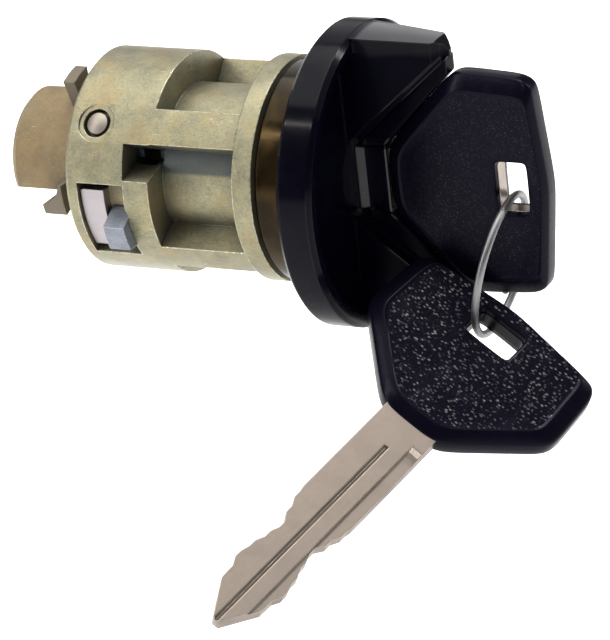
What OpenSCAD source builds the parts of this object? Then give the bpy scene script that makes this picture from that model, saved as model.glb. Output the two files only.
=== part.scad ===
// Ignition lock cylinder: a die-cast barrel, a turning plug with a wing knob, a key in the keyway,
// and a spare key that hangs from the first one on a wire ring.
// X runs along the lock towards the key, Z runs up along the key's width, and Y runs across it to the far side.
// The origin is on the lock's axis at the barrel's front face. Sizes are in millimetres.
// Angles round the lock start at the top (+Z) and grow towards the near side (-Y).

/* [Barrel] */
// Outside diameter of the barrel
barrel_d = 29.8; // [29:0.1:32]
// Length of the barrel from its rear face to its front face
barrel_len = 27.4; // [26:0.1:29]
// Length of the full round rear section
rear_len = 12.3; // [12:0.1:13.5]
// Thickness of the front flange
flange_t = 2.7; // [2:0.1:4]
// Depth of the neck's floor below the flange
neck_depth = 4.4; // [4:0.1:4.8]
// How far the barrel behind the flange lies below it
land_drop = 0.2; // [0.18:0.01:0.3]
// Wall from the barrel's outside to the plug
wall = 6.9; // [6.7:0.1:7.1]
// Angle from the top to the middle of the upper lands
land_angle = 51.5; // [48:0.5:54]
// Width of each land in degrees
land_width = 19; // [14:0.5:22]

/* [Side window and tab] */
// Length of the window along the barrel
window_len = 6.8; // [6.5:0.1:7.2]
// Angle where the window begins
window_from = 83; // [82:0.5:85]
// Angle where the window ends
window_to = 127.5; // [126:0.5:129]
// Depth of the window's curved floor below the barrel's surface
window_depth = 2.3; // [2.1:0.1:2.5]
// Thickness of the curved steel plate in the window
plate_t = 1.5; // [1:0.1:1.9]
// Thickness of the tab along the barrel
tab_t = 3; // [2.6:0.1:3.1]
// Width of the tab across the barrel
tab_w = 5.2; // [4.6:0.1:5.4]
// How far the tab stands out of the barrel
tab_proud = 1.5; // [1:0.1:1.6]
// How far the tab can be pressed in
tab_travel = 1.9; // [1.7:0.1:1.9]

/* [Retaining pin] */
// Diameter of the sprung pin
pin_d = 2.9; // [2.5:0.1:3.2]
// Distance from the barrel's rear face to the pin's axis
pin_back = 4.15; // [3.6:0.05:5]
// How far the pin can be pressed in
pin_travel = 1.6; // [1:0.1:1.7]

/* [Plug and tumblers] */
// Thickness of a wafer tumbler
wafer_t = 1.3; // [1:0.1:1.5]
// Distance from one wafer to the next
wafer_pitch = 2.3; // [2.2:0.05:2.4]

/* [Rear driver] */
// How far the drum's wall stands out past the plug
drum_step = 0.7; // [0.5:0.1:1.2]
// Length of the drum
drum_len = 11.4; // [11:0.1:13]
// Distance from the axis to the flat under the drum
drum_flat = 4.8; // [4.7:0.1:6]
// Height of the upper lug above the drum
lug_rise = 4.3; // [3:0.1:5]
// Height of the side horn above the drum
horn_rise = 3.4; // [2.4:0.1:4.2]
// Diameter of the screw that holds the driver
screw_d = 4; // [3.5:0.1:4.2]

/* [Collar and knob] */
// How far the dark collar lies below the barrel's surface
collar_step = 0.25; // [0.1:0.05:0.6]
// Distance from the barrel's front face to the knob's back
collar_len = 6; // [5.8:0.1:7]
// Diameter of the knob's rim
knob_d = 40.2; // [38:0.2:42]
// Thickness of the knob's rim
knob_t = 5; // [4.6:0.1:6]
// Width of the knob's raised rim
rim_w = 2.2; // [1.6:0.1:3]
// Depth of the dish inside the rim
dish_depth = 2.3; // [1.6:0.1:2.4]
// Height of the wings above the rim
wing_rise = 12; // [10:0.2:13]
// Thickness of a wing where it leaves the rim
wing_t = 7.3; // [6:0.1:8]
// Thickness of a wing at its tip
wing_tip_t = 4.4; // [4:0.1:5.4]
// How far the wing's slim core stands out along the slanted edge
core_step = 0.7; // [0.4:0.1:1]

/* [Keys and ring] */
// Width of the uncut blade
key_w = 8; // [7.6:0.05:8.3]
// Thickness of the blade
blade_t = 2.1; // [1.8:0.1:2.3]
// Length of the blade outside its head
blade_len = 37.9; // [37:0.1:38.4]
// Widest part of the head
head_w = 30.3; // [29:0.1:31]
// Length of the head
head_len = 22.4; // [22:0.1:24]
// Thickness of the head
head_t = 4.5; // [4:0.1:4.8]
// Length of the head's hole across the key
hole_w = 6.8; // [6.6:0.1:7.4]
// Width of the head's hole along the key
hole_h = 4.2; // [4:0.1:4.6]
// Diameter of the ring, measured on the wire's middle
ring_d = 18.6; // [18:0.1:20]
// Diameter of the ring's wire
wire_d = 1; // [0.8:0.05:1.1]

/* [Clearances] */
// Radial clearance of turning and sliding fits
run_gap = 0.05; // [0.03:0.01:0.08]
// Clearance between pieces that are fixed to each other
seat_gap = 0.02; // [0.01:0.01:0.04]
// Gap between the turning faces and the barrel's ends
face_gap = 0.3; // [0.2:0.05:0.5]
// Clearance of the blade in the keyway
key_gap = 0.12; // [0.08:0.01:0.2]

/* [Hidden] */
$fn = 64;
zinc = [0.60, 0.55, 0.33];
zinc_grey = [0.56, 0.58, 0.60];
olive = [0.42, 0.37, 0.24];
steel = [0.75, 0.76, 0.78];
brass = [0.78, 0.64, 0.34];
dark = [0.09, 0.085, 0.06];
black = [0.04, 0.04, 0.045];
nickel = [0.66, 0.63, 0.56];

barrel_r = barrel_d / 2;
body_r = barrel_r - land_drop;
rear_x = -barrel_len;
neck_x0 = rear_x + rear_len;
neck_r = barrel_r - neck_depth;
land_edge = land_angle + land_width / 2;
plug_d = barrel_d - 2 * wall;
bore_r = plug_d / 2 + run_gap;

// Side window, the plate that covers its rear part and the tab in front of the plate
fin_t = 3.7;
window_x1 = neck_x0 - fin_t;
window_x0 = window_x1 - window_len;
floor_r = barrel_r - window_depth;
gap_angle = 4;
gap_r = bore_r + 1.55;
tab_x1 = window_x1 + 0.15;
tab_x0 = tab_x1 - tab_t;
plate_x0 = window_x0 + 0.2;
plate_x1 = tab_x0 - 0.4;
tab_z1 = -1.9;
ramp_y = 3.6;
tab_z0 = tab_z1 - tab_w;
tab_r = barrel_r + tab_proud;
foot_z1 = tab_z1 - 0.4;
foot_z0 = foot_z1 - 3;
foot_top = sqrt(floor_r * floor_r - foot_z0 * foot_z0) - 0.3;
foot_t = 0.7;
foot_bottom = foot_top - foot_t;
foot_x0 = plate_x1 - 1.8;
tab_floor = foot_bottom - tab_travel - 0.15;
tab_coil_d = 1.3;
tab_hole_end = foot_bottom + 2.9;

// Sprung pin in the upper near land's line
pin_x = rear_x + pin_back;
pin_top = barrel_r - 0.15;
pin_len = 3.5;
pin_bottom = pin_top - pin_len;
pin_floor = pin_bottom - pin_travel - 0.15;
pin_hole_end = pin_bottom + 2;

// Plug with its nose in the knob and its tail in the driver
plug_x0 = rear_x - face_gap;
plug_x1 = collar_len;
nose_len = 1.6;
nose_d = plug_d - 3;
nose_flat = 4.6;
tail_len = 6;
tail_w = 5.2;
tail_h = 7.2;
keyway_z = key_w / 2 + key_gap;
keyway_y = blade_t / 2 + key_gap;
wafer_w = 5.4;
wafer_count = 7;
cut_start = 17.6;
slot_gap = 0.05;
room_w = 1.35;
room_z0 = -4.6;
room_h = 7.6;
ear_z = 0.5;
ear_h = 1.2;

// Key seated in the plug, with its head's narrow end in front of the knob's dish
dish_x = collar_len + knob_t - dish_depth;
key_x = dish_x + 4.5;
keyway_end = key_x - blade_len - 0.6;

// Driver's own places
drum_d = plug_d + 2 * drum_step;
drum_x0 = plug_x0 - drum_len;
flat_angle = 160;
hub_len = 3.9;
lug_x1 = plug_x0 - 1.9;
lug_t = 1.7;
lug_r = drum_d / 2 + lug_rise;
horn_len = 3.3;
horn_r = drum_d / 2 + horn_rise;
sink_d = 8;
sink_depth = 3.5;
washer_t = 0.8;

// Collar, its screws and the return spring inside it
web_t = 1.3;
collar_wall = 1.7;
collar_r = barrel_r - collar_step;
web_x = collar_len - web_t;
room_r = (plug_d / 2 + collar_r - collar_wall) / 2;
knob_screw_d = 2;
knob_screw_head_d = 3.4;
knob_screw_head = 1;
knob_screw_reach = 1.8;
driver_slot_w = 0.6;
driver_slot_depth = 0.5;
spring_wire = 1;
spring_turns = 2.3;

// Knob and its wings
knob_r = knob_d / 2;
rim_x = collar_len + knob_t;
tip_x = rim_x + wing_rise;
wing_slope = 0.894;
wing_x = dish_x - 0.5;
wing_z = 4.6;
core_share = 0.55;
tip_lip = 0.9;

// Head's outline, and the wire's place in both holes
wide_s = 10.5;
far_half = head_w / 2 - 0.5;
bevel = 2;
hole_s = 17.5;
bow_half = 6.2;
rebate = 0.5;
groove_out = 4.5;
cutter_r = 6;
cutter_turn = acos(1 - rebate / cutter_r) + 4;
cuts = [0.15, 0.75, 1.5, 1.05, 0.5, 0.15, 0.75];
ring_r = ring_d / 2;
ring_angle = 167;
spare_angle = -37;
ring_turn = [0, 104.7, 3.5];
spare_turn = [-165.9, -15.7, 114.65];
wire_at = [key_x + hole_s - 0.2, 0, -1.7];
spare_wire = [hole_s - 0.3, 0, 2.3];

// Cylinder on the lock's axis
module bar_x(x0, x1, r) {
    translate([x0, 0, 0]) rotate([0, 90, 0]) cylinder(r = r, h = x1 - x0);
}

// Turned form on the lock's axis, from points of radius and place along X
module turned_x(points) {
    rotate([0, 90, 0]) rotate_extrude() polygon(points);
}

// Flat shape in the YZ plane, drawn out along X
module along_x(x0, x1) {
    translate([x0, 0, 0]) rotate([90, 0, 90]) linear_extrude(x1 - x0) children();
}

// Flat shape in the XZ plane, drawn out both ways along Y
module across_y(t) {
    rotate([90, 0, 0]) linear_extrude(t, center = true) children();
}

// Sector between two angles round the lock
module wedge(a0, a1, r) {
    polygon(concat([[0, 0]], [for (i = [0:4]) let (a = a0 + (a1 - a0) * i / 4) [-r * sin(a), r * cos(a)]]));
}

// Piece of a tube between two angles
module tube_sector(x0, x1, r0, r1, a0, a1) {
    intersection() {
        difference() {
            bar_x(x0, x1, r1);
            bar_x(x0 - 1, x1 + 1, r0);
        }
        along_x(x0 - 2, x1 + 2) wedge(a0, a1, 2 * r1);
    }
}

// Turns its children from the top to an angle round the lock
module radial(x, a) {
    rotate([a, 0, 0]) translate([x, 0, 0]) children();
}

// Round wire wound up Z, with its ends inside the given length
module coil(r, wire, turns, length, steps = 8, sides = 6) {
    n = ceil(turns * steps);
    rise = length - wire;
    points = [for (i = [0:n]) for (k = [0:sides - 1])
        let (a = 360 * turns * i / n, b = 360 * k / sides, q = r + wire / 2 * cos(b))
        [q * cos(a), q * sin(a), wire / 2 + rise * i / n + wire / 2 * sin(b)]];
    walls = [for (i = [0:n - 1]) for (k = [0:sides - 1])
        let (k2 = (k + 1) % sides)
        [i * sides + k, i * sides + k2, (i + 1) * sides + k2, (i + 1) * sides + k]];
    ends = [[for (k = [sides - 1:-1:0]) k], [for (k = [0:sides - 1]) n * sides + k]];
    polyhedron(points, concat(walls, ends));
}

// Die-cast barrel with its neck, four lands, side window and pockets
module lock_housing() {
    color(zinc) difference() {
        turned_x([[0, rear_x], [body_r - 0.5, rear_x], [body_r, rear_x + 0.5], [body_r, -flange_t],
                  [barrel_r, -flange_t], [barrel_r, 0], [0, 0]]);
        bar_x(rear_x - 1, 1, bore_r);
        neck_pockets();
        tube_sector(window_x0, window_x1, floor_r, barrel_r + 2, window_from, window_to);
        for (a = [window_from, window_to - gap_angle])
            tube_sector(window_x0, plate_x1, gap_r, barrel_r + 2, a, a + gap_angle);
        slot_over_fin();
        tab_pocket();
        radial(pin_x, land_angle) {
            translate([0, 0, pin_floor]) cylinder(d = pin_d + 2 * run_gap, h = 10);
            translate([0, 0, barrel_r - 1.8]) cylinder(d = pin_d + 1, h = 4);
            translate([0, 0, body_r - 0.25]) cylinder(d = pin_d + 2.3, h = 4);
        }
    }
}

module neck_pockets() {
    difference() {
        bar_x(neck_x0, -flange_t, barrel_r + 2);
        bar_x(neck_x0 - 1, 1, neck_r);
        for (a = [land_angle, 180 - land_angle, 180 + land_angle, 360 - land_angle])
            along_x(neck_x0 - 1, 1) wedge(a - land_width / 2, a + land_width / 2, 2 * barrel_r);
    }
}

// Deep slot between the upper near land and the fin beside the window, open to the plug behind the fin
module slot_over_fin() {
    fin_z = barrel_r * cos(81);
    slant = tan(13);
    r = barrel_r + 2;
    inner = bore_r + 0.9;
    along_x(window_x1, neck_x0 + 0.2)
        polygon([[-r, r / tan(land_edge) - 0.12], [-r, fin_z - (r - barrel_r) * slant],
                 [-inner, fin_z + (barrel_r - inner) * slant], [-inner, inner / tan(land_edge) - 0.12]]);
    translate([window_x1 + 0.6, -neck_r, fin_z + 0.5]) cube([fin_t - 1.2, neck_r - bore_r / 2, 2.4]);
}

module tab_pocket() {
    translate([tab_x0 - run_gap, -barrel_r - 2, tab_z0 - run_gap])
        cube([tab_t + 2 * run_gap, barrel_r + 2 - tab_floor, tab_w + 2 * run_gap]);
    translate([foot_x0 - run_gap, -barrel_r - 2, foot_z0 - run_gap])
        cube([tab_x1 - foot_x0, barrel_r + 2 - tab_floor, foot_z1 - foot_z0 + 2 * run_gap]);
}

// Curved steel plate that keeps the tab's foot in the window
module guide_plate() {
    color(steel) tube_sector(plate_x0, plate_x1, floor_r, floor_r + plate_t, window_from + gap_angle,
                             window_to - gap_angle);
}

// Sprung tab with a ramped upper edge and a foot under the plate
module retaining_tab() {
    color(zinc_grey) difference() {
        intersection() {
            union() {
                translate([tab_x0, -barrel_r - 5, tab_z0]) cube([tab_t, barrel_r + 5 - foot_bottom, tab_w]);
                translate([foot_x0, -foot_top, foot_z0]) cube([tab_x1 - foot_x0, foot_t, foot_z1 - foot_z0]);
            }
            bar_x(foot_x0 - 1, tab_x1 + 1, tab_r);
        }
        along_x(tab_x0 - 1, tab_x1 + 1)
            polygon([[-tab_r + ramp_y, tab_z1], [-tab_r + ramp_y, tab_z1 + 1], [-tab_r - 3, tab_z1 + 1],
                     [-tab_r - 3, tab_z1 - 3.6]]);
        translate([tab_x0 + tab_t / 2, -foot_bottom + 1, (foot_z0 + foot_z1) / 2]) rotate([90, 0, 0])
            cylinder(d = tab_coil_d + 0.2, h = tab_hole_end - foot_bottom + 1);
    }
}

module tab_spring() {
    color(steel) translate([tab_x0 + tab_t / 2, -tab_floor - 0.02, (foot_z0 + foot_z1) / 2]) rotate([90, 0, 0])
        coil(tab_coil_d / 2 - 0.12, 0.24, 6, tab_hole_end - tab_floor - 0.06);
}

// Sprung pin with a domed top that locates the barrel
module retaining_pin() {
    color(steel) radial(pin_x, land_angle) difference() {
        intersection() {
            translate([0, 0, pin_bottom]) cylinder(d = pin_d, h = pin_len);
            translate([0, 0, pin_top - 3]) sphere(r = 3);
        }
        translate([0, 0, pin_bottom - 1]) cylinder(d = 1.7, h = pin_hole_end - pin_bottom + 1);
    }
}

module pin_spring() {
    color(steel) radial(pin_x, land_angle) translate([0, 0, pin_floor + 0.02])
        coil(0.6, 0.28, 5, pin_hole_end - pin_floor - 0.06);
}

function wafer_x(i) = key_x - cut_start - (i - 1) * wafer_pitch;

// Turning plug with its keyway, wafer slots, nose and tail
module lock_plug() {
    color(brass) difference() {
        union() {
            bar_x(plug_x0, plug_x1, plug_d / 2);
            intersection() {
                bar_x(plug_x1 - 1, plug_x1 + nose_len, nose_d / 2);
                translate([plug_x1 - 2, -nose_flat, -nose_d]) cube([nose_len + 4, 2 * nose_flat, 2 * nose_d]);
            }
            translate([plug_x0 - tail_len, -tail_w / 2, -tail_h / 2]) cube([tail_len + 1, tail_w, tail_h]);
        }
        translate([keyway_end, -keyway_y, -keyway_z]) cube([60, 2 * keyway_y, 2 * keyway_z]);
        for (i = [1:wafer_count]) translate([wafer_x(i) - wafer_t / 2 - slot_gap, 0, 0]) {
            translate([0, -wafer_w / 2 - slot_gap, -plug_d])
                cube([wafer_t + 2 * slot_gap, wafer_w + 2 * slot_gap, 2 * plug_d]);
            translate([0, 0, room_z0]) cube([wafer_t + 2 * slot_gap, wafer_w / 2 + room_w + slot_gap, room_h]);
        }
        bar_x(plug_x0 - tail_len - 1, plug_x0 - 0.6, screw_d / 2);
    }
}

// Brass wafer with a window for the blade and an ear for its spring
module wafer(i) {
    color(brass) translate([wafer_x(i), 0, 0]) difference() {
        intersection() {
            union() {
                translate([-wafer_t / 2, -wafer_w / 2, -plug_d]) cube([wafer_t, wafer_w, 2 * plug_d]);
                translate([-wafer_t / 2, 0, ear_z]) cube([wafer_t, wafer_w / 2 + room_w - 0.1, ear_h]);
            }
            bar_x(-wafer_t, wafer_t, plug_d / 2 - 0.1);
        }
        translate([-wafer_t, -keyway_y, -keyway_z]) cube([2 * wafer_t, 2 * keyway_y, 2 * keyway_z]);
    }
}

module wafer_springs() {
    color(steel) for (i = [1:wafer_count])
        translate([wafer_x(i), wafer_w / 2 + room_w / 2 + 0.02, room_z0 + seat_gap])
            coil(0.42, 0.2, 5, ear_z - room_z0 - 2 * seat_gap, 7, 5);
}

// Rear driver that turns with the plug, with a flat, an upper lug and a side horn
module rear_driver() {
    color(olive) difference() {
        union() {
            difference() {
                turned_x([[0, drum_x0], [drum_d / 2 - 0.9, drum_x0], [drum_d / 2, drum_x0 + 0.9],
                          [drum_d / 2, plug_x0], [0, plug_x0]]);
                radial(drum_x0 - 1, flat_angle) translate([0, -drum_d, drum_flat])
                    cube([drum_len - hub_len + 1, 2 * drum_d, drum_d]);
            }
            tube_sector(lug_x1 - lug_t, lug_x1, drum_d / 2 - 2, lug_r, 6, 23);
            difference() {
                tube_sector(lug_x1 - horn_len, lug_x1, drum_d / 2 - 1.2, horn_r, 90, 111);
                translate([lug_x1 - horn_len - 0.4, 0, 0.3]) rotate([90, 0, 0]) cylinder(r = 3.2, h = 2 * horn_r);
            }
        }
        translate([plug_x0 - tail_len - 0.1, -tail_w / 2 - seat_gap, -tail_h / 2 - seat_gap])
            cube([tail_len + 1, tail_w + 2 * seat_gap, tail_h + 2 * seat_gap]);
        bar_x(drum_x0 - 1, plug_x0, screw_d / 2 + 0.15);
        bar_x(drum_x0 - 1, drum_x0 + sink_depth, sink_d / 2);
    }
}

module driver_washer() {
    color(steel) difference() {
        bar_x(drum_x0 + sink_depth - washer_t, drum_x0 + sink_depth, sink_d / 2 - 0.3);
        bar_x(drum_x0, drum_x0 + sink_depth + 1, screw_d / 2 + 0.1);
    }
}

module driver_screw() {
    head_x = drum_x0 + sink_depth - washer_t;
    color(steel) difference() {
        union() {
            bar_x(head_x - 2.4, head_x, sink_d / 2 - 0.5);
            bar_x(head_x - 1, plug_x0 - 0.8, screw_d / 2 - seat_gap);
        }
        translate([head_x - 3, 0, 0]) rotate([0, 90, 0]) cylinder(d = 3.4, h = 2, $fn = 6);
    }
}

// Dark collar that hides the return spring and turns with the knob
module collar() {
    r = collar_r;
    color(dark) difference() {
        turned_x([[0, face_gap], [r - 0.4, face_gap], [r, face_gap + 0.4], [r, collar_len], [0, collar_len]]);
        bar_x(0, web_x, r - collar_wall);
        bar_x(0, collar_len + 1, plug_d / 2 + seat_gap);
        for (s = [-1, 1]) translate([0, s * room_r, 0])
            bar_x(0, collar_len + 1, knob_screw_d / 2 + 0.1);
    }
}

module return_spring() {
    color(steel) translate([0.02, 0, 0]) rotate([0, 90, 0])
        coil(room_r, spring_wire, spring_turns, web_x - knob_screw_head - 0.3, 36, 8);
}

module knob_screws() {
    color(steel) for (s = [-1, 1]) translate([0, s * room_r, 0]) difference() {
        union() {
            bar_x(web_x - knob_screw_head, web_x, knob_screw_head_d / 2);
            bar_x(web_x - 0.5, collar_len + knob_screw_reach, knob_screw_d / 2 - seat_gap);
        }
        translate([web_x - knob_screw_head - 1, -driver_slot_w / 2, -knob_screw_head_d])
            cube([1 + driver_slot_depth, driver_slot_w, 2 * knob_screw_head_d]);
    }
}

// Knob with a dished front and two wings that leave room for the key's head
module knob() {
    rim_in = knob_r - rim_w;
    color(black) difference() {
        union() {
            turned_x([[0, collar_len], [knob_r - 0.6, collar_len], [knob_r, collar_len + 0.6],
                      [knob_r, rim_x - 0.6], [knob_r - 0.6, rim_x], [rim_in + 0.4, rim_x], [rim_in, rim_x - 0.4],
                      [rim_in - 0.6, dish_x], [0, dish_x]]);
            for (s = [0, 1]) mirror([0, 0, s]) wing();
        }
        translate([collar_len - 1, -keyway_y, -keyway_z]) cube([30, 2 * keyway_y, 2 * keyway_z]);
        intersection() {
            bar_x(collar_len - 1, collar_len + nose_len + 0.1, nose_d / 2 + seat_gap);
            translate([0, -nose_flat - seat_gap, -nose_d])
                cube([collar_len + 10, 2 * nose_flat + 2 * seat_gap, 2 * nose_d]);
        }
        for (s = [-1, 1]) translate([0, s * room_r, 0])
            bar_x(collar_len - 1, collar_len + knob_screw_reach + 0.2, knob_screw_d / 2);
    }
}

// Side view of a wing that ends at a place along X, with its slanted edge set back by a step
module wing_side(step, end) {
    drop = step * sqrt(1 + wing_slope * wing_slope);
    edge_z = wing_z - drop + wing_slope * (end - 0.6 - wing_x);
    polygon([[wing_x - 1, wing_z - drop - wing_slope], [end - 0.6, edge_z], [end, edge_z + 0.6],
             [end, knob_r + 1], [wing_x - 1, knob_r + 1]]);
}

// Plan view of a wing, with a share of its full thickness
module wing_plan(share, end) {
    foot = share * wing_t / 2;
    tip = share * wing_tip_t / 2;
    polygon([[wing_x - 2, -foot], [rim_x, -foot], [end - 0.9, -tip], [end, 0.9 - tip],
             [end, tip - 0.9], [end - 0.9, tip], [rim_x, foot], [wing_x - 2, foot]]);
}

// Wing in two steps: thick outer faces, and a slim core that stands out along the slanted edge and the tip
module wing() {
    intersection() {
        for (step = [0, core_step]) intersection() {
            end = step > 0 ? tip_x : tip_x - tip_lip;
            across_y(2 * wing_t) wing_side(step, end);
            linear_extrude(knob_d) wing_plan(step > 0 ? core_share : 1, end);
        }
        turned_x([[0, wing_x], [knob_r - 0.05, wing_x], [knob_r - 0.05, rim_x], [knob_r - 0.9, tip_x - 1.4],
                  [knob_r - 1.5, tip_x - 0.5], [knob_r - 2.4, tip_x], [0, tip_x]]);
    }
}

// Half width of the cut blade at a wafer's station
function cut_half(i) = key_w / 2 - cuts[i];

function blade_side(m) = concat(
    [[0, m * key_w / 2], [-cut_start + 1.3, m * key_w / 2]],
    [for (i = [0:len(cuts) - 1]) for (d = [0.55, -0.55])
        [-cut_start - i * wafer_pitch + d, m * cut_half(i)]],
    [[-blade_len + 4.9, m * 3.2], [-blade_len + 0.9, m * 0.95], [-blade_len + 0.2, m * 0.55],
     [-blade_len, m * 0.2]]);

function reversed(list) = [for (i = [len(list) - 1:-1:0]) list[i]];

module hole_shape(grow) {
    offset(r = 0.8, $fn = 16) square([hole_h + 2 * grow - 1.6, hole_w + 2 * grow - 1.6], center = true);
}

// Blade with cuts on both edges, milled grooves and a bow inside the head
module blade() {
    difference() {
        across_y(blade_t)
            polygon(concat(blade_side(1), reversed(blade_side(-1)),
                           [[2.6, -key_w / 2], [4.6, -bow_half], [head_len - 1.8, -bow_half],
                            [head_len - 1.8, bow_half], [4.6, bow_half], [2.6, key_w / 2]]));
        translate([hole_s, 0, 0]) across_y(2 * blade_t) hole_shape(0);
        for (s = [0, 1]) rotate([180 * s, 0, 0]) blade_grooves();
    }
}

// Leaning V groove along the middle of one face, and a rebate along its lower edge with a cutter's run-out
module blade_grooves() {
    face = -blade_t / 2;
    along_x(-blade_len - 1, -4.5)
        polygon([[face - 1, 0.45], [face, 0.45], [face + 0.4, 0.1], [face, -0.35], [face - 1, -0.35]]);
    translate([0, 0, -key_w]) linear_extrude(key_w - 2.3)
        polygon(concat([[1 - groove_out, face - 1], [-blade_len - 1, face - 1], [-blade_len - 1, face + rebate]],
                       [for (i = [0:4]) let (a = cutter_turn * i / 4)
                           [-groove_out + cutter_r * sin(a), face + rebate - cutter_r * (1 - cos(a))]]));
}

module head_outline(inset) {
    offset(delta = -inset) hull() {
        for (m = [-1, 1]) {
            translate([0.6, m * (key_w / 2 - 0.5)]) circle(r = 0.6, $fn = 16);
            translate([5.6, m * (key_w / 2 + 4.4)]) circle(r = 2, $fn = 24);
            translate([wide_s, m * (head_w / 2 - 2)]) circle(r = 2, $fn = 24);
            translate([head_len - 3.8, m * (far_half - 3)]) circle(r = 3, $fn = 32);
        }
        polygon(concat([[head_len - 6, 0]], [for (t = [-11:2:11]) [head_len - t * t / 80, t]]));
    }
}

// Moulded head with a bevelled border, sunk fields and the ring's hole
module head() {
    difference() {
        hull() {
            across_y(head_t - 1.9) head_outline(0);
            across_y(head_t) head_outline(bevel);
        }
        for (s = [-1, 1]) translate([0, s * (head_t / 2 + 0.8), 0]) across_y(2) head_outline(bevel + 0.9);
        across_y(blade_t + 2 * seat_gap)
            polygon([[-1, -key_w / 2 - seat_gap], [2.6 + seat_gap, -key_w / 2 - seat_gap],
                     [4.6 + seat_gap, -bow_half - seat_gap], [head_len - 1.8 + seat_gap, -bow_half - seat_gap],
                     [head_len - 1.8 + seat_gap, bow_half + seat_gap], [4.6 + seat_gap, bow_half + seat_gap],
                     [2.6 + seat_gap, key_w / 2 + seat_gap], [-1, key_w / 2 + seat_gap]]);
        translate([hole_s, 0, 0]) across_y(2 * head_t) hole_shape(0.1);
    }
}

module key_blade() {
    color(nickel) translate([key_x, 0, 0]) blade();
}

module key_head() {
    color(black) translate([key_x, 0, 0]) head();
}

// The ring's own frame: its centre, with the ring's axis along Z
module in_ring() {
    translate(wire_at) rotate(ring_turn)
        translate([-ring_r * cos(ring_angle), -ring_r * sin(ring_angle), 0]) children();
}

// The spare key's own frame, hung from the wire
module in_spare() {
    in_ring() translate([ring_r * cos(spare_angle), ring_r * sin(spare_angle), 0]) rotate(spare_turn)
        translate(-spare_wire) children();
}

// Wire bent round a little more than once, so that its ends pass side by side
module key_ring() {
    color(steel) in_ring() rotate([0, 0, 40]) translate([0, 0, -wire_d * 1.13])
        coil(ring_r, wire_d, 1.17, wire_d * 2.26, 40, 8);
}

module spare_blade() {
    color(nickel) in_spare() blade();
}

module spare_head() {
    color(black) in_spare() head();
}

lock_housing();
guide_plate();
retaining_tab();
tab_spring();
retaining_pin();
pin_spring();
lock_plug();
for (i = [1:wafer_count])
    wafer(i);
wafer_springs();
rear_driver();
driver_washer();
driver_screw();
collar();
return_spring();
knob_screws();
knob();
key_blade();
key_head();
key_ring();
spare_blade();
spare_head();
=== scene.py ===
import bpy
import numpy as np
from mathutils import Matrix, Vector


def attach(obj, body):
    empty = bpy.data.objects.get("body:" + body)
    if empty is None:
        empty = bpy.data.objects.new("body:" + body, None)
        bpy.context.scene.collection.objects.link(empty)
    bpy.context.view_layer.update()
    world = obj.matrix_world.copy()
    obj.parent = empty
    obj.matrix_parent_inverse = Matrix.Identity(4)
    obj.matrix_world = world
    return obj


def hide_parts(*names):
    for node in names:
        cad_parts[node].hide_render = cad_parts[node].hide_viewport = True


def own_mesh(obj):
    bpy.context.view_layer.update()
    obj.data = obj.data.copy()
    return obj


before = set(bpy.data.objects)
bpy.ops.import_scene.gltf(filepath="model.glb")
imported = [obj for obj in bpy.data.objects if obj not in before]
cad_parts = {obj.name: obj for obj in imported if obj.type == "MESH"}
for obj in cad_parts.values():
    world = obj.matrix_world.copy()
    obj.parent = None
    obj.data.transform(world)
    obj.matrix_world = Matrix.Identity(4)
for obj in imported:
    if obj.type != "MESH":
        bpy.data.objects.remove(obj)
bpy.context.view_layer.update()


# Barrel: one zinc die casting with a neck, four lands and a side window.
# A yellow-olive chromate film covers it, a little mottled, and bare metal shows on its rubbed edges.
# A painted shadow in dark blue lies on the neck under the near upper land, where the land's overhang shades
# it.

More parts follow.
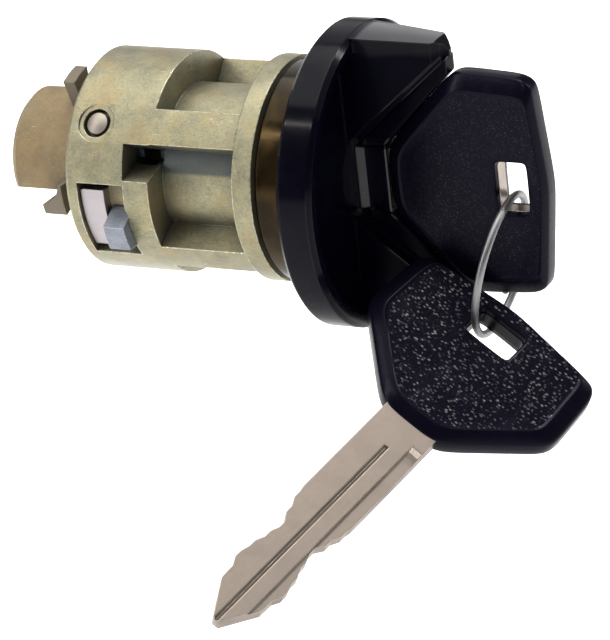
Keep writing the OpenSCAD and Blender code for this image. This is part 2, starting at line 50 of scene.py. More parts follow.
class Flow:
    """One output socket of a material's nodes. Operators on values add Math nodes; node() adds any other."""

    def __init__(self, tree, socket=None):
        self.tree = tree
        self.socket = socket

    def node(self, kind, settings=None, sockets=None, out=0):
        """A new node. Its settings are set first, then its sockets get values or links from other Flows."""
        made = self.tree.nodes.new(kind)
        for name, value in (settings or {}).items():
            setattr(made, name, value)
        for name, value in (sockets or {}).items():
            if isinstance(value, Flow):
                self.tree.links.new(value.socket, made.inputs[name])
            else:
                made.inputs[name].default_value = value
        return Flow(self.tree, made.outputs[out])

    def calc(self, operation, first, second):
        """A Math node on two values, either of which may be a plain number."""
        return self.node("ShaderNodeMath", {"operation": operation}, {0: first, 1: second})

    def __add__(self, other):
        return self.calc("ADD", self, other)

    def __radd__(self, other):
        return self.calc("ADD", other, self)

    def __sub__(self, other):
        return self.calc("SUBTRACT", self, other)

    def __rsub__(self, other):
        return self.calc("SUBTRACT", other, self)

    def __mul__(self, other):
        return self.calc("MULTIPLY", self, other)

    def __rmul__(self, other):
        return self.calc("MULTIPLY", other, self)

    def between(self, start, full):
        """0 up to start, 1 from full on, and a smooth rise from one to the other."""
        return self.node("ShaderNodeMapRange", {"interpolation_type": "SMOOTHSTEP", "clamp": True},
                         {"Value": self, "From Min": start, "From Max": full, "To Min": 0.0, "To Max": 1.0})

    def mix(self, low, high):
        """A colour that goes from low to high as this value goes from 0 to 1."""
        return self.node("ShaderNodeMix", {"data_type": "RGBA"}, {0: self, 6: low, 7: high}, 2)

    def noise(self, scale, detail=3.0, roughness=0.55):
        """Noise from about 0 to 1 over a place in metres, with about scale grains to the metre."""
        return self.node("ShaderNodeTexNoise", {}, {"Vector": self, "Scale": scale, "Detail": detail,
                                                    "Roughness": roughness})

    def stretched(self, scale, turn=(0.0, 0.0, 0.0)):
        """A place scaled along X, Y and Z, and then turned about them by the angles given."""
        return self.node("ShaderNodeMapping", {}, {"Vector": self, "Rotation": turn, "Scale": scale})

    def part(self, axis):
        """One part of a place or a direction: X, Y or Z."""
        return self.node("ShaderNodeSeparateXYZ", {}, {0: self}, axis)

    def off_axis(self):
        """A place's distance from the lock's axis, which is the length of its Y and Z parts."""
        flat = self.node("ShaderNodeVectorMath", {"operation": "MULTIPLY"}, {0: self, 1: (0.0, 1.0, 1.0)})
        return flat.node("ShaderNodeVectorMath", {"operation": "LENGTH"}, {0: flat}, "Value")


class Finish:
    """A material whose steady values sit on the shader itself, and whose varying ones are fed by Flows."""

    def __init__(self, name, steady):
        self.material = bpy.data.materials.new(name)
        self.material.use_nodes = True
        self.tree = self.material.node_tree
        self.shader = self.tree.nodes["Principled BSDF"]
        for socket, value in steady.items():
            self.shader.inputs[socket].default_value = value
        self.place = Flow(self.tree).node("ShaderNodeTexCoord", out="Object")

    def feed(self, socket, flow):
        """Links a varying value or colour to one of the shader's sockets."""
        self.tree.links.new(flow.socket, self.shader.inputs[socket])

    def fed(self, socket):
        """The Flow that feeds one of the shader's sockets so far."""
        return Flow(self.tree, self.shader.inputs[socket].links[0].from_socket)

    def soft_edge(self, radius):
        """Normals as if every edge were rounded to this radius."""
        return Flow(self.tree).node("ShaderNodeBevel", {"samples": 6}, {"Radius": radius})

    def rubbed(self, rounded):
        """1 where the rounded normal leaves the flat one, which is along edges, and 0 elsewhere."""
        flat = Flow(self.tree).node("ShaderNodeNewGeometry", out="True Normal")
        same = rounded.node("ShaderNodeVectorMath", {"operation": "DOT_PRODUCT"},
                            {0: rounded, 1: flat}, "Value")
        return (1.0 - same).between(0.01, 0.22)

    def open_sky(self, reach):
        """1 on open surfaces and less in the piece's own corners and pockets, as far as reach."""
        return Flow(self.tree).node("ShaderNodeAmbientOcclusion", {"samples": 6, "only_local": True},
                                    {"Distance": reach}, "AO")

    def bump(self, height, distance, strength=1.0, normal=None):
        """Raises the surface by distance times height, over the normals given or the mesh's own."""
        sockets = {"Height": height, "Distance": distance, "Strength": strength}
        if normal is not None:
            sockets["Normal"] = normal
        self.feed("Normal", height.node("ShaderNodeBump", {}, sockets))

    def on(self, *names):
        """Gives the material to CAD nodes."""
        for name in names:
            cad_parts[name].material_slots[0].material = self.material


def shade(colour, red, green, blue):
    """A darker colour: each part of the first times its own share."""
    return (colour[0] * red, colour[1] * green, colour[2] * blue, 1.0)


def cast_zinc(name, light, deep, tint, bare, rough, metal):
    """Zinc casting under a thin film: clouds of two tones, patches of a third tint where the film is thick, a
    fine crystal mottle, dark specks, painted shade in corners and a bluish painted shade in pockets, light
    scuffs and a fine casting grain. Bare metal shows where an edge is rubbed."""
    edge_radius = 0.00025
    corner_reach = 0.0007
    pocket_reach = 0.0045
    grain_height = 0.00003
    made = Finish(name, {"IOR": 1.6, "Specular IOR Level": 0.4})
    cloud = made.place.noise(330.0, 6.0, 0.75).between(0.32, 0.68)
    thick = made.place.noise(190.0, 5.0, 0.65).between(0.46, 0.70)
    mottle = made.place.noise(2800.0, 5.0, 0.8).between(0.30, 0.70)
    fleck = made.place.noise(2100.0, 2.0).between(0.62, 0.70)
    grain = made.place.noise(3200.0, 4.0, 0.65)
    drawn = made.place.stretched((900.0, 6500.0, 6500.0), (0.0, 0.35, 0.25))
    scuff = drawn.noise(1.0, 2.0).between(0.60, 0.70) * made.place.noise(300.0, 3.0).between(0.48, 0.66)
    edge = made.soft_edge(edge_radius)
    open_corner = made.open_sky(corner_reach)
    touch = made.place.noise(1400.0, 4.0, 0.7).between(0.36, 0.54)
    worn = made.rubbed(edge) * open_corner.between(0.70, 0.92) * touch
    # Painted shade: masks for the piece's own corners and pockets, from how enclosed each place is.
    corner_shade = 1.0 - open_corner.between(0.45, 0.80)
    pocket_shade = 1.0 - made.open_sky(pocket_reach).between(0.30, 0.92)
    film = (cloud * 0.5 + mottle * 0.5).mix(deep, light)
    film = (thick * 0.42).mix(film, tint)
    # Painted shade: the film turns dark in corners and a bluish dark in pockets.
    film = (corner_shade * 0.65).mix(film, shade(deep, 0.20, 0.20, 0.20))
    film = (pocket_shade * 0.75).mix(film, shade(deep, 0.30, 0.33, 0.40))
    film = (fleck * 0.20).mix(film, shade(deep, 0.40, 0.40, 0.40))
    film = (scuff * 0.30).mix(film, bare)
    made.feed("Base Color", (worn * 0.9).mix(film, bare))
    made.feed("Roughness", rough + mottle * 0.18 - worn * 0.12 + grain * 0.08)
    made.feed("Metallic", metal + worn * 0.2 - fleck * 0.15)
    made.bump(grain + mottle * 0.9 + cloud * 0.4, distance=grain_height, strength=0.7, normal=edge)
    return made


chromate = cast_zinc("yellow_chromate", light=(0.315, 0.287, 0.170, 1.0), deep=(0.128, 0.127, 0.092, 1.0),
                     tint=(0.30, 0.205, 0.075, 1.0), bare=(0.82, 0.79, 0.66, 1.0), rough=0.23, metal=0.70)
neck_radius = 0.0105
# Painted shadow: the dark blue that colours the neck under the near upper land.
shadow_blue = (0.030, 0.042, 0.055, 1.0)
barrel_height = chromate.place.part("Z")
under_land = barrel_height.between(0.0019, 0.0026) * (1.0 - barrel_height.between(0.0050, 0.0056))
near_side = chromate.place.part("Y").between(-0.003, -0.005)
on_neck = 1.0 - chromate.place.off_axis().between(neck_radius + 0.0002, neck_radius + 0.0006)
land_shadow = under_land * near_side * on_neck
# Painted shadow of the near upper land on the neck.
chromate.feed("Base Color", (land_shadow * 0.80).mix(chromate.fed("Base Color"), shadow_blue))
chromate.on("lock_housing")


# Guide plate and retaining pin: the plate is pressed from bright steel, curved to the barrel and set in
# its window. The pin is turned, and it slides in a round hole in the barrel's upper side.
# Both keep fine marks from rolling and turning.

def bright_steel(name, tint, rough, streaks):
    """Steel whose brightness and gloss vary along fine streaks and in a faint haze. The streaks are so many
    to the metre along X, Y and Z, and fewer along X than across it draws them out along the lock."""
    edge_radius = 0.00018
    streak_height = 0.000012
    made = Finish(name, {"Metallic": 1.0})
    drawn = made.place.stretched(streaks).noise(1.0, 4.0)
    haze = made.place.noise(260.0, 3.0).between(0.3, 0.7)
    made.feed("Base Color", (drawn * 0.6 + haze * 0.4).mix(shade(tint, 0.72, 0.72, 0.72), tint))
    made.feed("Roughness", rough + drawn * 0.12 + haze * 0.08)
    made.bump(drawn, distance=streak_height, strength=0.5, normal=made.soft_edge(edge_radius))
    return made


rolled = bright_steel("rolled_steel", tint=(0.40, 0.370, 0.383, 1.0), rough=0.36,
                      streaks=(400.0, 4000.0, 4000.0))
rolled.on("guide_plate")
turned = bright_steel("turned_steel", tint=(0.345, 0.306, 0.263, 1.0), rough=0.42,
                      streaks=(2000.0, 2000.0, 2000.0))
turned.on("retaining_pin")


# Retaining tab: a grey zinc slider that springs out of the barrel beside the plate and catches in the bore.
# It is left bare and slightly blue, and the bore has rubbed its edges bright.

tab_zinc = cast_zinc("grey_zinc", light=(0.25, 0.27, 0.31, 1.0), deep=(0.12, 0.135, 0.165, 1.0),
                     tint=(0.24, 0.27, 0.33, 1.0), bare=(0.55, 0.58, 0.63, 1.0), rough=0.32, metal=0.6)
tab_zinc.on("retaining_tab")


# Springs, screws and washer: drawn wire and turned steel, hidden inside the lock or at its rear end.
# The coils under the pin and the tab stand in blind holes in the barrel.

spring_wire = bright_steel("spring_wire", tint=(0.66, 0.66, 0.68, 1.0), rough=0.28,
                           streaks=(2500.0, 2500.0, 2500.0))
spring_wire.on("wafer_springs", "return_spring", "driver_washer", "driver_screw", "knob_screws")


def grid_faces(rows, columns, closed=False, flipped=False):
    """Four corners for each face of a grid whose columns close into a ring. Closed joins its last row to its
    first as well, and flipped turns its faces the other way."""
    index = np.arange(rows * columns).reshape(rows, columns)
    right = np.roll(index, -1, axis=1)
    below = np.roll(index, -1, axis=0)
    across = np.roll(right, -1, axis=0)
    corners = (index, right, across, below) if flipped else (index, below, across, right)
    kept_rows = rows if closed else rows - 1
    return np.stack(corners, axis=-1)[:kept_rows].reshape(-1, 4)


def new_piece(name, points, faces, smooth):
    """An object at the origin, with its place in its mesh."""
    mesh = bpy.data.meshes.new(name)
    mesh.from_pydata(points.tolist(), [], faces)
    mesh.polygons.foreach_set("use_smooth", np.full(len(faces), smooth))
    mesh.update()
    made = bpy.data.objects.new(name, mesh)
    bpy.context.scene.collection.objects.link(made)
    return made


def turn_about(axis, degrees):
    """A turn about one axis, as a matrix."""
    return Matrix.Rotation(np.radians(degrees), 3, axis)


def wire_mesh(name, angle, height, thick, reach, turn, centre):
    """A circle carried along a helix: the wire's middle goes round the Z axis at reach, by the angles and
    heights given, and the circle has the radii given. A point at the first and last place closes the ends.
    Then the whole is turned and moved to centre."""
    sides = 20
    round_wire = np.linspace(0.0, 2 * np.pi, sides + 1)[:-1]
    out = reach + thick[:, None] * np.cos(round_wire)
    local = np.stack([out * np.cos(angle)[:, None], out * np.sin(angle)[:, None],
                      height[:, None] + thick[:, None] * np.sin(round_wire)], axis=-1)
    body = local[1:-1].reshape(-1, 3)
    points = np.concatenate([body, local[[0, -1], 0]]) @ np.array(turn).T + np.array(centre)
    first = np.arange(sides)
    last = first + len(body) - sides
    start = np.stack([np.full(sides, len(body)), first, np.roll(first, -1)], axis=-1)
    end = np.stack([np.full(sides, len(body) + 1), np.roll(last, -1), last], axis=-1)
    walls = grid_faces(len(angle) - 2, sides)
    return new_piece(name, points, walls.tolist() + start.tolist() + end.tolist(), smooth=True)


def press_spring(name, node, lean, foot, reach, wire, turns, length):
    """An even coil from foot along Z, leant round X."""
    steps_per_turn = 30
    share = np.concatenate([[0.0], np.linspace(0.0, 1.0, steps_per_turn * turns), [1.0]])
    thick = np.full(share.shape, wire / 2)
    thick[[0, -1]] = 0.0
    height = wire / 2 + (length - wire) * share
    turn = turn_about("X", lean)
    made = wire_mesh(name, 2 * np.pi * turns * share, height, thick, reach, turn, foot)
    made.data.materials.append(spring_wire.material)
    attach(made, "housing")
    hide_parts(node)
    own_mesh(made)


press_spring("pin_coil", "pin_spring", lean=51.5, foot=(-0.02325, -0.007465, 0.005938),
             reach=0.0006, wire=0.00028, turns=5, length=0.003652)
press_spring("tab_coil", "tab_spring", lean=90.0, foot=(-0.02015, -0.008417, -0.0038),
             reach=0.00053, wire=0.00024, turns=6, length=0.004858)


# Plug and wafers: machined brass, with turning marks round the plug.
# They are coloured a dark brown, far darker than brass, as painted shade for their place deep inside the
# barrel.

wafer_count = 7
brass = Finish("machined_brass", {"Metallic": 1.0})
turning = brass.place.stretched((6000.0, 60.0, 60.0)).noise(1.0, 3.0)
tarnish_and_shade = brass.place.noise(220.0, 4.0).between(0.42, 0.72)
# Painted shade: both browns are far darker than brass, with patches that vary at random between them.
brass.feed("Base Color", tarnish_and_shade.mix((0.10, 0.072, 0.032, 1.0), (0.04, 0.028, 0.012, 1.0)))
brass.feed("Roughness", 0.24 + tarnish_and_shade * 0.2 + turning * 0.06)
brass.bump(turning, distance=0.00001, strength=0.5, normal=brass.soft_edge(radius=0.00015))
brass.on("lock_plug", *["wafer_%d" % (number + 1) for number in range(wafer_count)])


# Rear driver: a second zinc casting behind the barrel, with a browner and more matt chromate on its drum.
# Its lug and horn stand out past the drum, and the film has gone from them to a dull dark grey.

drum_radius = 0.0087
arm_grey = (0.115, 0.100, 0.078, 1.0)
driver_film = cast_zinc("brown_chromate", light=(0.25, 0.172, 0.078, 1.0), deep=(0.125, 0.095, 0.050, 1.0),
                        tint=(0.19, 0.158, 0.09, 1.0), bare=(0.50, 0.46, 0.36, 1.0), rough=0.46, metal=0.28)
bare_arm = driver_film.place.off_axis().between(drum_radius + 0.0001, drum_radius + 0.0007)
driver_film.feed("Base Color", (bare_arm * 0.75).mix(driver_film.fed("Base Color"), arm_grey))
driver_film.on("rear_driver")


# Collar: a steel cup under a dark lacquer, in which the olive of the plating still shows.
# It lies against the knob's back, where two slotted screws hold it.

lacquer = Finish("dark_lacquer", {"Metallic": 0.9, "Specular IOR Level": 0.3})
patch = lacquer.place.noise(180.0, 3.0).between(0.4, 0.7)
lacquer.feed("Base Color", patch.mix((0.0135, 0.0094, 0.0046, 1.0), (0.036, 0.0225, 0.0082, 1.0)))
lacquer.feed("Roughness", 0.14 + patch * 0.10)
lacquer_edge = lacquer.soft_edge(radius=0.0003)
lacquer.bump(lacquer.place.noise(1500.0, 2.0), distance=0.00001, strength=0.4, normal=lacquer_edge)
lacquer.on("collar")


# Knob: a black moulding with a dished front and two wings, held on the plug's nose by its flats.
# The dish stays dull. Fingers polish the rim, the wings' backs and every edge, and leave faint smears.

dish_edge = 0.0170
wing_foot = 0.0110
sleeve_edge = 0.0056
gloss = Finish("black_gloss", {"IOR": 1.5, "Specular IOR Level": 0.02, "Coat Roughness": 0.12})
smear = gloss.place.noise(120.0, 4.0).between(0.4, 0.75)
knob_edge = gloss.soft_edge(radius=0.0006)
from_axis = gloss.place.off_axis()
rim = from_axis.between(dish_edge, dish_edge + 0.0014)
wing_back = gloss.place.part("X").between(wing_foot, wing_foot + 0.0008)
sleeve = 1.0 - from_axis.between(sleeve_edge, sleeve_edge + 0.0004)
sideways = Flow(gloss.tree).node("ShaderNodeTexCoord", out="Normal").part("Y")
level = 1.0 - (sideways * sideways).between(0.15, 0.5)
polished = rim * (0.13 + wing_back * level * 0.71) + sleeve * 0.5
gloss.feed("Base Color", smear.mix((0.0010, 0.0009, 0.0036, 1.0), (0.0020, 0.0018, 0.0060, 1.0)))
gloss.feed("Roughness", 0.22 + smear * 0.12)
gloss.feed("Coat Weight", polished + gloss.rubbed(knob_edge) * 0.4 - smear * 0.06)
gloss.bump(gloss.place.noise(700.0, 2.0), distance=0.00002, strength=0.35, normal=knob_edge)
gloss.on("knob")


# Wing webs: thin ribs moulded along the slanted edges of the wings, in one with the knob.
# They reach down towards the key's head and leave it room to slide straight out.

def oblong(sides, power):
    """Points round an oblong with rounded corners, of half-size 1: the cosine and the sine of even steps,
    each raised to two over power with its sign kept. Their norm of that power is 1."""
    turn = np.linspace(0.0, 2 * np.pi, sides + 1)[:-1]
    wide = np.sign(np.cos(turn)) * np.abs(np.cos(turn)) ** (2 / power)
    tall = np.sign(np.sin(turn)) * np.abs(np.sin(turn)) ** (2 / power)
    return wide, tall


def web_mesh(name):
    """A section across each web, a rounded oblong as an 8-norm, carried along the lock from the dish to the
    tip. Its top is sunk into the wing, on a line along the slanted edge. Its bottom follows the slanted side
    of the key's head, a little clear of it, and stays above the keyway. The lower web is the upper one
    mirrored."""
    web_ends = (0.0106, 0.0228)
    half_widths = (0.0019, 0.00115)
    wing_x = 0.0082
    wing_z = 0.0046
    wing_slope = 0.894
    edge_drop = 0.00067
    head_x = 0.0307
    head_z = 0.02295
    head_slope = 1.063
    clearance = 0.00005
    clearance_lean = 1.46
    keyway_top = 0.0044
    rows = 40
    sides = 48
    along = np.linspace(*web_ends, rows)
    top = wing_z - edge_drop + wing_slope * (along - wing_x)
    head_side = head_z + head_slope * (along - head_x)
    bottom = np.maximum(head_side + clearance * clearance_lean, keyway_top)
    half = np.interp(along, web_ends, half_widths)
    wide, tall = oblong(sides, power=8)
    across = half[:, None] * wide
    up = (top + bottom)[:, None] / 2 + (top - bottom)[:, None] / 2 * tall
    upper = np.stack([np.broadcast_to(along[:, None], up.shape), across, up], axis=-1).reshape(-1, 3)
    points = np.concatenate([upper, upper * (1.0, 1.0, -1.0)])
    walls = grid_faces(rows, sides, flipped=True)
    ring = np.arange(sides)
    caps = np.stack([ring[::-1], ring + len(upper) - sides])
    lower_walls = (walls + len(upper))[:, ::-1]
    lower_caps = (caps + len(upper))[:, ::-1]
    faces = walls.tolist() + caps.tolist() + lower_walls.tolist() + lower_caps.tolist()
    return new_piece(name, points, faces, smooth=False)


wing_webs = web_mesh("wing_webs")
wing_webs.data.materials.append(gloss.material)
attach(wing_webs, "rotor")


# Key guide: a black sleeve that stands up from the dish round the keyway and leads the blade in.
# It is moulded in one with the knob, and its sides are hollowed between a foot and a lip.

def guide_mesh(name):
    """A rounded oblong, as a 16-norm, carried along the lock: out along the outer wall, whose thickness falls
    and rises again as a cosine wave, over the lip, and back along the slot's wall to the start."""
    foot = 0.0085
    wall_length = 0.0043
    wall = 0.00055
    hollow = 0.00027
    slot_half_width = 0.00117
    slot_half_height = 0.00412
    end_share = 0.6
    wall_rows = 17
    sides = 96
    share = np.linspace(0.0, 1.0, wall_rows)
    outer = np.stack([foot + wall_length * share, wall + hollow * np.cos(2 * np.pi * share)], axis=-1)
    # place along the lock and thickness over the slot, round the lip
    lip = np.array([[0.01315, 0.00080], [0.01338, 0.00075], [0.01342, 0.00066], [0.01335, 0.00058],
                    [0.01300, 0.0001], [0.01290, 0.0]])
    section = np.concatenate([outer, lip, [[foot, 0.0]]])
    thick = section[:, 1:]
    wide, tall = oblong(sides, power=16)
    across = (slot_half_width + thick) * wide
    up = (slot_half_height + thick * end_share) * tall
    along = np.broadcast_to(section[:, :1], up.shape)
    points = np.stack([along, across, up], axis=-1).reshape(-1, 3)
    faces = grid_faces(len(section), sides, closed=True, flipped=True)
    return new_piece(name, points, faces.tolist(), smooth=False)


key_guide = guide_mesh("key_guide")
key_guide.data.materials.append(gloss.material)
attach(key_guide, "rotor")


# Key blades: nickel silver blanks with milled grooves and cuts on both edges, worn to a warm grey.
# The moulded heads close round their bows, and each bow has a hole for the ring.

blank = Finish("nickel_silver", {"Specular IOR Level": 0.08})
milled = blank.place.noise(900.0, 5.0, 0.7)
blade_stain = blank.place.noise(160.0, 4.0).between(0.38, 0.7)
blade_edge = blank.soft_edge(radius=0.00012)
blade_worn = blank.rubbed(blade_edge)
blade_tone = (blade_stain * 0.7 + milled * 0.3).mix((0.295, 0.250, 0.212, 1.0), (0.195, 0.160, 0.134, 1.0))
blank.feed("Base Color", (blade_worn * 0.7).mix(blade_tone, (0.72, 0.69, 0.64, 1.0)))
blank.feed("Roughness", 0.26 + blade_stain * 0.14 + milled * 0.08)
blank.bump(milled, distance=0.00002, strength=0.45, normal=blade_edge)
blank.on("key_blade", "spare_blade")


# Key heads: black moulded grips over the blades' bows. A smooth bevelled border runs round a pebbled field,
# and a square-cornered hole near the far edge takes the ring.
# The spare key's pebbles stand out, and those on the key in the lock are fine and nearly level.

hole_place = 0.0175
hole_half_length = 0.0022
hole_half_width = 0.0035
hole_power = 9
head_power = 26
# each side's direction along and across the key, distance from the hole and share of the border's width
head_sides = [(-1.0, 0.0, 0.0175, 0.8), (-0.728, 0.685, 0.01572, 0.75), (-0.728, -0.685, 0.01572, 0.75),
              (0.0616, 0.998, 0.01475, 1.0), (0.0616, -0.998, 0.01475, 1.0), (0.72, 0.694, 0.01195, 0.7),
              (0.72, -0.694, 0.01195, 0.7), (0.995, 0.10, 0.00480, 0.3), (0.995, -0.10, 0.00480, 0.3)]


def head_reach(angle, inset):
    """Distance from the hole's centre to the head's outline: the 26-norm of its nine sides, each moved in by
    its share of inset."""
    total = 0.0
    for along, across, away, border in head_sides:
        facing = along * np.cos(angle) + across * np.sin(angle)
        total = total + np.maximum(facing / (away - inset * border), 0.0) ** head_power
    return total ** (-1 / head_power)


def hole_reach(angle):
    """Distance from the hole's centre to its wall, a rectangle with rounded corners, as a 9-norm."""
    along = np.abs(np.cos(angle)) / hole_half_length
    across = np.abs(np.sin(angle)) / hole_half_width
    return (along ** hole_power + across ** hole_power) ** (-1 / hole_power)


def grip_mesh(name, turn, origin, relief, fineness):
    """The head's section, from the hole's wall over the field and border to the edge and back underneath,
    carried once round the hole. Each ring of points is a mix of the hole's outline and the head's outline
    moved in. The steps round the hole crowd towards the far edge by a sine."""
    crowding = 0.42
    thin_wall = 0.0006
    border_reach = 0.0028
    field_start = 0.0005
    columns = 480
    steps = np.linspace(0.0, 2 * np.pi, columns + 1)[:-1]
    angle = steps - crowding * np.sin(steps)
    # mix of hole (0) and outline (1), inset from the outline or from the hole, height, field
    top = np.array([[0.0, 0.0, 0.0000, 0.0], [0.0, 0.0, 0.00185, 0.0], [0.0, 0.00008, 0.00203, 0.0],
                    [0.0, 0.00025, 0.00210, 0.0], [0.0, 0.0005, 0.00211, 0.4], [0.3, 0.0026, 0.00212, 1.0],
                    [0.6, 0.0026, 0.00212, 1.0], [0.9, 0.0026, 0.00212, 1.0], [1.0, 0.0026, 0.00212, 0.6],
                    [1.0, 0.00240, 0.00214, 0.0], [1.0, 0.00225, 0.00221, 0.0], [1.0, 0.00208, 0.00224, 0.0],
                    [1.0, 0.00195, 0.00220, 0.0], [1.0, 0.0012, 0.00180, 0.0], [1.0, 0.00032, 0.00132, 0.0],
                    [1.0, 0.0001, 0.00113, 0.0], [1.0, 0.0, 0.0009, 0.0]])
    under = top[::-1] * np.array([1.0, 1.0, -1.0, 1.0])
    section = np.concatenate([top, under[:-1]])
    share = section[:, 0:1]
    inset = section[:, 1:2]
    inner = hole_reach(angle)
    least_wall = thin_wall + thin_wall * np.clip((border_reach - inset) / border_reach, 0.0, 1.0)
    outline = np.maximum(head_reach(angle, inset), inner + least_wall)
    from_wall = inner + np.where(share == 0.0, inset, field_start)
    reach = from_wall + (outline - from_wall) * share
    along = hole_place + reach * np.cos(angle)
    across = reach * np.sin(angle)
    away = np.broadcast_to(section[:, 2:3], along.shape)
    local = np.stack([along, -away, across], axis=-1)
    points = local.reshape(-1, 3) @ np.array(turn).T + np.array(origin)
    faces = grid_faces(len(section), columns, closed=True)
    made = new_piece(name, points, faces.tolist(), smooth=True)
    field = made.data.attributes.new("field", "FLOAT", "POINT")
    field.data.foreach_set("value", np.repeat(section[:, 3] * relief, columns).astype(np.float32))
    grip = made.data.attributes.new("grip", "FLOAT_VECTOR", "POINT")
    grip.data.foreach_set("vector", (local * fineness).reshape(-1).astype(np.float32))
    return made


grip_black = Finish("pebbled_black", {"IOR": 1.5, "Specular IOR Level": 0.07, "Coat Roughness": 0.20,
                                      "Coat IOR": 3.6, "Specular Tint": (0.80, 0.76, 1.0, 1.0)})
grip_place = Flow(grip_black.tree).node("ShaderNodeAttribute", {"attribute_name": "grip"}, out="Vector")
grip_field = Flow(grip_black.tree).node("ShaderNodeAttribute", {"attribute_name": "field"}, out="Fac")
drawn_out = grip_place.stretched((1.0, 1.0, 0.62))
cell = drawn_out.node("ShaderNodeTexVoronoi", {"feature": "F1"},
                      {"Vector": drawn_out, "Scale": 2300.0, "Randomness": 1.0})
pebble = (1.0 - cell.between(0.02, 0.46)) * grip_place.noise(1300.0, 1.0).between(0.40, 0.62)
raised = pebble * grip_field
dust = grip_place.noise(300.0, 4.0).between(0.45, 0.75)
pores = grip_place.noise(2500.0, 2.0) * (0.04 + grip_field * 0.25)
grip_tone = (dust * grip_field).mix((0.0022, 0.0020, 0.0058, 1.0), (0.004, 0.004, 0.0085, 1.0))
grip_black.feed("Base Color", grip_tone)
grip_black.feed("Roughness", 0.26 - grip_field * 0.06 + dust * 0.08)
grip_black.feed("Coat Weight", raised)
grip_black.bump(raised + pores, distance=0.00015, strength=0.9)

# The first key lies along the lock, and the spare key hangs where the ring's wire passes through its hole.
ring_radius = 0.0093
angle_at_key = 167.0
angle_at_spare = -37.0


def ring_way(degrees):
    """The direction from the ring's middle to its wire, at an angle round it, before the ring is turned."""
    return np.array([np.cos(np.radians(degrees)), np.sin(np.radians(degrees)), 0.0])


key_origin = (0.0132, 0.0, 0.0)
key_grip = grip_mesh("key_grip", np.eye(3), key_origin, relief=0.07, fineness=2.4)
ring_turn = turn_about("Z", 3.5) @ turn_about("Y", 104.7)
spare_turn = ring_turn @ turn_about("Z", 114.65) @ turn_about("Y", -15.7) @ turn_about("X", -165.9)
ring_step = (ring_way(angle_at_spare) - ring_way(angle_at_key)) * ring_radius
wire_in_key = np.array([key_origin[0] + hole_place - 0.0002, 0.0, -0.0017])
wire_in_spare = np.array([hole_place - 0.0003, 0.0, 0.0023])
spare_origin = wire_in_key + np.array(ring_turn) @ ring_step - np.array(spare_turn) @ wire_in_spare
spare_grip = grip_mesh("spare_grip", spare_turn, spare_origin, relief=1.0, fineness=1.1)

# The moulding lines the spare key's hole, and the first key's hole shows the bare blank.
lining_black = (0.004, 0.004, 0.006, 1.0)
spare_hole = spare_origin + np.array(spare_turn) @ np.array([hole_place, 0.0, 0.0])
from_hole = blank.place.node("ShaderNodeVectorMath", {"operation": "DISTANCE"},
                             {0: blank.place, 1: tuple(spare_hole)}, "Value")
lined = 1.0 - from_hole.between(0.0052, 0.0054)
blank.feed("Base Color", lined.mix(blank.fed("Base Color"), lining_black))
blank.feed("Metallic", 1.0 - lined)
for grip, body, node in ((key_grip, "key", "key_head"), (spare_grip, "spare", "spare_head")):
    grip.data.materials.append(grip_black.material)
    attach(grip, body)
    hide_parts(node)


# Key ring: one length of grey steel wire, bent round a little more than once so that its ends pass side by
# side. It is cut square and rounded off, and handling has left it a dull gunmetal grey.

def ring_mesh(name):
    """A circle of wire carried along a flat helix. Its radius falls to nothing over the last wire radius at
    each end, as the root of one minus the square of what is left of the way in, which rounds the ends off."""
    wire_radius = 0.0005
    ring_turns = 1.17
    start_angle = 40.0
    pitch_share = 1.26
    tip_rows = 9
    wire_rows = 360
    length = 2 * np.pi * ring_radius * ring_turns
    tip = wire_radius / length * (1.0 - np.cos(np.linspace(0.0, np.pi / 2, tip_rows)))
    middle = np.linspace(tip[-1], 1.0 - tip[-1], wire_rows + 2)[1:-1]
    share = np.concatenate([tip, middle, 1.0 - tip[::-1]])
    angle = np.radians(start_angle) + 2 * np.pi * ring_turns * share
    way_in = np.clip(np.minimum(share, 1.0 - share) * length / wire_radius, 0.0, 1.0)
    thick = wire_radius * np.sqrt(np.maximum(1.0 - (1.0 - way_in) ** 2, 0.0))
    rise = pitch_share * 2 * wire_radius * (share - 0.5)
    ring_centre = wire_in_key - np.array(ring_turn) @ (ring_way(angle_at_key) * ring_radius)
    return wire_mesh(name, angle, rise, thick, ring_radius, ring_turn, ring_centre)


ring_wire = bright_steel("ring_wire", tint=(0.235, 0.235, 0.24, 1.0), rough=0.34,
                         streaks=(1800.0, 1800.0, 1800.0))
wire_ring = ring_mesh("wire_ring")
wire_ring.data.materials.append(ring_wire.material)
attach(wire_ring, "ring")
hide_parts("key_ring")


# Floor and light: a sheet of white paper under the object, bright enough to stay plain white.
# A broad light hangs overhead, and two weaker ones fill from the right and the back.
# Narrow strips and small squares draw the bright lines and sparks on the knob, the barrel and the key heads.

floor_half = 3.0
floor_height = -0.041
floor_corners = np.array([[-1, -1], [1, -1], [1, 1], [-1, 1]]) * floor_half
floor_points = np.column_stack([floor_corners, np.full(4, floor_height)])
floor = new_piece("floor", floor_points, [(0, 1, 2, 3)], smooth=False)
paper = Finish("paper", {"Roughness": 0.9, "Base Color": (0.93, 0.93, 0.93, 1.0),
                         "Emission Color": (1.0, 1.0, 1.0, 1.0), "Emission Strength": 0.52})
paper.bump(paper.place.noise(900.0, 2.0), distance=0.00002, strength=0.2)
floor.data.materials.append(paper.material)


def panel(name, place, aim, size, power, tint):
    """A flat light of the width and height given, at a place, that faces the point it is aimed at."""
    light = bpy.data.lights.new(name, "AREA")
    light.shape = "RECTANGLE"
    light.size = size[0]
    light.size_y = size[1]
    light.energy = power
    light.color = tint
    made = bpy.data.objects.new(name, light)
    bpy.context.scene.collection.objects.link(made)
    made.rotation_mode = "QUATERNION"
    made.rotation_quaternion = (Vector(place) - Vector(aim)).to_track_quat("Z", "Y")
    made.location = place


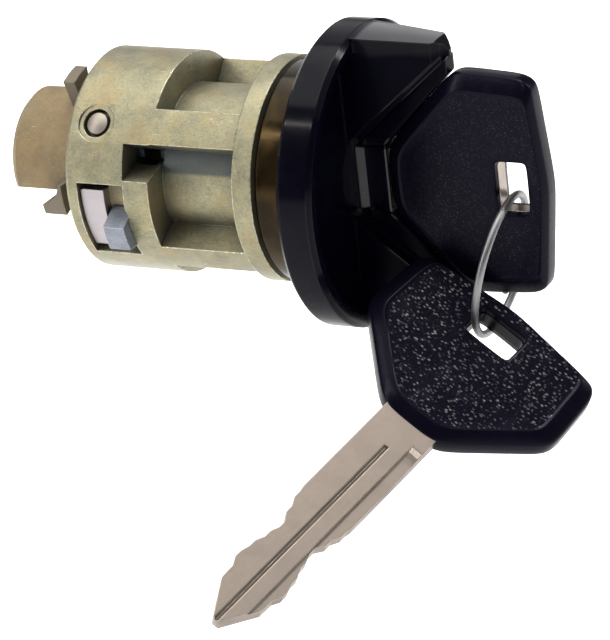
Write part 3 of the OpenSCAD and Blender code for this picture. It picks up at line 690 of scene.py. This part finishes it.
# name, place, the point it faces, width and height, watts and tint
panel("overhead", (-0.20, 0.05, 0.75), (0.0, 0.0, 0.0), (0.75, 0.9), 7.3, (1.0, 0.99, 0.97))
panel("top_right", (0.45, 0.05, 0.75), (0.0, 0.0, 0.0), (0.5, 0.9), 0.8, (1.0, 0.98, 0.95))
panel("back_left", (-0.31, 0.63, 0.36), (0.0, 0.0, 0.0), (0.35, 0.5), 0.6, (1.0, 0.99, 1.0))
panel("near_strip", (-0.33, -0.386, 0.553), (0.0, 0.0, 0.0), (0.5, 0.016), 0.75, (1.0, 0.94, 0.84))
panel("front_spark", (0.19, -0.46, 0.63), (0.03, 0.0, 0.0), (0.07, 0.07), 0.7, (1.0, 1.0, 1.0))
panel("spark", (0.09, 0.157, 0.68), (0.02, -0.02, -0.02), (0.09, 0.09), 1.6, (1.0, 1.0, 1.0))
panel("left_front", (-0.55, -0.55, 0.35), (0.0, 0.0, 0.0), (0.07, 0.7), 3.0, (1.0, 1.0, 1.0))
panel("right_back", (0.55, 0.45, 0.45), (0.0, 0.0, 0.0), (0.07, 0.6), 3.0, (1.0, 1.0, 1.0))
bpy.context.scene.view_settings.view_transform = "Standard"
world = bpy.data.worlds.new("studio")
bpy.context.scene.world = world
world.use_nodes = True
sky = world.node_tree.nodes["Background"]
sky.inputs["Color"].default_value = (1.0, 1.0, 1.0, 1.0)
sky.inputs["Strength"].default_value = 0.12


# Camera: a long lens at the photograph's place, turned by the small roll that the photograph has.
# Its place and its focal length were fitted to the sizes of the barrel, the knob and the keys.

focal_pixels = 4240.5
picture_height = 640
sensor = 36.0
lens = bpy.data.cameras.new("camera")
lens.sensor_width = sensor
lens.lens = focal_pixels / picture_height * sensor
lens.clip_start = 0.01
lens.clip_end = 20.0
camera = bpy.data.objects.new("camera", lens)
bpy.context.scene.collection.objects.link(camera)
camera.matrix_world = Matrix(((0.8954, -0.0785, 0.4382, 0.24436), (0.4326, 0.3855, -0.8150, -0.45850),
                              (-0.1049, 0.9194, 0.3792, 0.19155), (0.0, 0.0, 0.0, 1.0)))
bpy.context.scene.camera = camera
